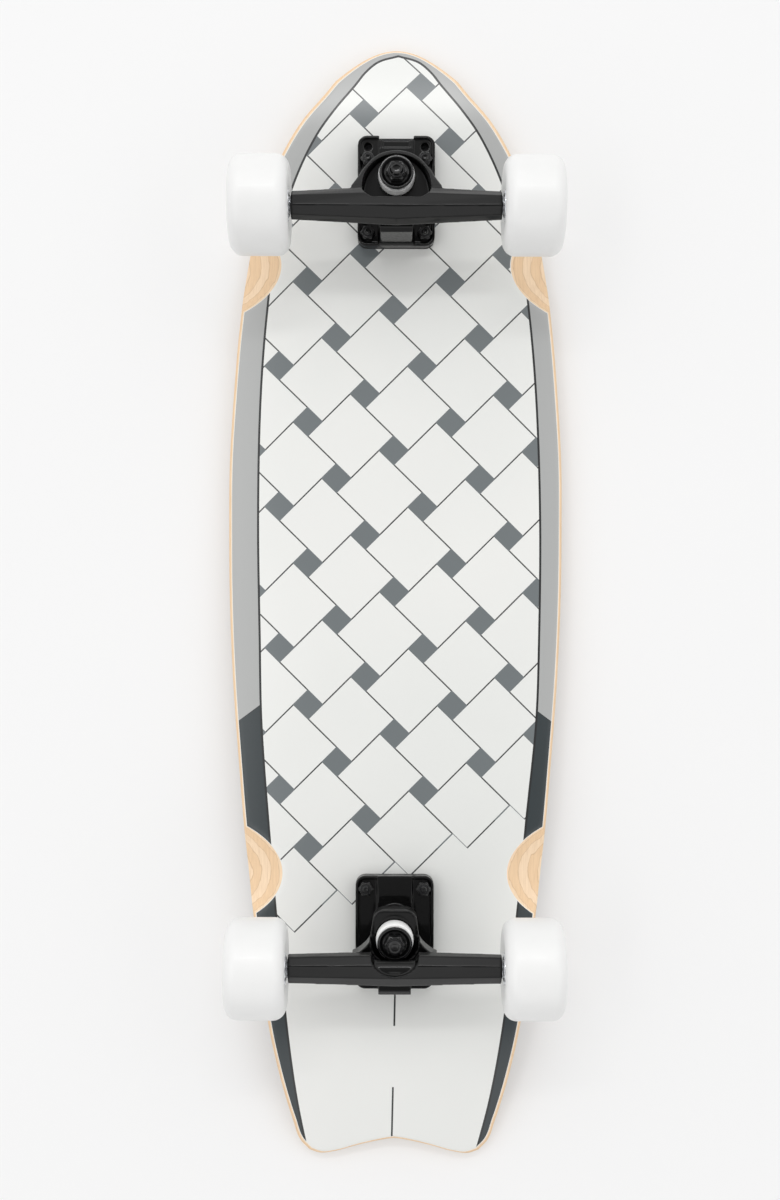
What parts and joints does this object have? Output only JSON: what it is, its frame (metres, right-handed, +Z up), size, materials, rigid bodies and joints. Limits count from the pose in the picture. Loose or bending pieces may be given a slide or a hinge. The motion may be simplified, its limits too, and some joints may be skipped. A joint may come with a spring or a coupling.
{
  "type": "surf skateboard",
  "caption": "Surf skateboard with a kicked swallow-tail deck, a painted tile pattern underneath, sprung carving trucks on riser pads and wide wheels on ball bearings",
  "frame": {"origin": "centre of the bottom of the bounding box, with the board lying grip side down on its nose tip and its two tail tips", "axes": "+X to the right, +Y to the nose, +Z up, away from the deck's underside through the trucks"},
  "size_m": [0.2442, 0.8132, 0.1302],
  "materials": {
    "deck_wood": "maple plies with a painted and lacquered underside",
    "grip": "gritty black grip tape",
    "riser_rubber": "matt black rubber",
    "cast_black": "cast, with satin black paint",
    "black_steel": "satin black steel",
    "steel": "bright zinc-plated steel",
    "bearing_steel": "polished bearing steel",
    "wheel_urethane": "satin white urethane",
    "bushing_urethane": "smooth white urethane",
    "cup_plastic": "matt black plastic"
  },
  "bodies": {
    "board": {"deck": "deck_wood", "grip_tape": "grip", "front_riser_pad": "riser_rubber", "front_baseplate": "cast_black", "front_pivot_cup": "cup_plastic", "front_kingpin": "black_steel", "front_kingpin_nut": "black_steel", "front_board_washer": "black_steel", "front_board_bushing": "bushing_urethane", "front_road_bushing": "bushing_urethane", "front_road_washer": "black_steel", "front_left_inner_bolt": "black_steel", "front_left_inner_locknut": "black_steel", "front_left_outer_bolt": "black_steel", "front_left_outer_locknut": "black_steel", "front_right_inner_bolt": "black_steel", "front_right_inner_locknut": "black_steel", "front_right_outer_bolt": "black_steel", "front_right_outer_locknut": "black_steel", "rear_riser_pad": "riser_rubber", "rear_baseplate": "cast_black", "rear_pivot_cup": "cup_plastic", "rear_kingpin": "black_steel", "rear_kingpin_nut": "black_steel", "rear_board_washer": "black_steel", "rear_board_bushing": "bushing_urethane", "rear_road_bushing": "bushing_urethane", "rear_road_washer": "black_steel", "rear_left_inner_bolt": "black_steel", "rear_left_inner_locknut": "black_steel", "rear_left_outer_bolt": "black_steel", "rear_left_outer_locknut": "black_steel", "rear_right_inner_bolt": "black_steel", "rear_right_inner_locknut": "black_steel", "rear_right_outer_bolt": "black_steel", "rear_right_outer_locknut": "black_steel"},
    "front_hanger_set": {"front_hanger": "cast_black", "front_axle": "steel", "front_left_axle_nut": "steel", "front_right_axle_nut": "steel"},
    "rear_hanger_set": {"rear_hanger": "cast_black", "rear_axle": "steel", "rear_left_axle_nut": "steel", "rear_right_axle_nut": "steel"},
    "front_left_wheel_set": {"front_left_wheel": "wheel_urethane", "front_left_inner_bearing": "bearing_steel", "front_left_bearing_spacer": "steel", "front_left_outer_bearing": "bearing_steel"},
    "front_right_wheel_set": {"front_right_wheel": "wheel_urethane", "front_right_inner_bearing": "bearing_steel", "front_right_bearing_spacer": "steel", "front_right_outer_bearing": "bearing_steel"},
    "rear_left_wheel_set": {"rear_left_wheel": "wheel_urethane", "rear_left_inner_bearing": "bearing_steel", "rear_left_bearing_spacer": "steel", "rear_left_outer_bearing": "bearing_steel"},
    "rear_right_wheel_set": {"rear_right_wheel": "wheel_urethane", "rear_right_inner_bearing": "bearing_steel", "rear_right_bearing_spacer": "steel", "rear_right_outer_bearing": "bearing_steel"}
  },
  "joints": [
    {"name": "front_truck_tilt", "type": "hinge", "parent": "board", "child": "front_hanger_set", "pos_m": [0, 0.26835, 0.06031], "axis": [0, 0.9559, -0.2938], "range_deg": [-15, 15], "stiffness_Nm_per_rad": 40, "deforming": ["front_board_bushing", "front_road_bushing"]},
    {"name": "rear_truck_tilt", "type": "hinge", "parent": "board", "child": "rear_hanger_set", "pos_m": [0, -0.26897, 0.05414], "axis": [0, 0.9394, 0.3428], "range_deg": [-15, 15], "stiffness_Nm_per_rad": 50, "deforming": ["rear_board_bushing", "rear_road_bushing"]},
    {"name": "front_left_wheel_spin", "type": "hinge", "parent": "front_hanger_set", "child": "front_left_wheel_set", "pos_m": [-0.09455, 0.2744, 0.08266], "axis": [1, 0, 0], "continuous": true},
    {"name": "front_right_wheel_spin", "type": "hinge", "parent": "front_hanger_set", "child": "front_right_wheel_set", "pos_m": [0.09455, 0.2744, 0.08266], "axis": [1, 0, 0], "continuous": true},
    {"name": "rear_left_wheel_spin", "type": "hinge", "parent": "rear_hanger_set", "child": "rear_left_wheel_set", "pos_m": [-0.09455, -0.25043, 0.0957], "axis": [1, 0, 0], "continuous": true},
    {"name": "rear_right_wheel_spin", "type": "hinge", "parent": "rear_hanger_set", "child": "rear_right_wheel_set", "pos_m": [0.09455, -0.25043, 0.0957], "axis": [1, 0, 0], "continuous": true}
  ]
}
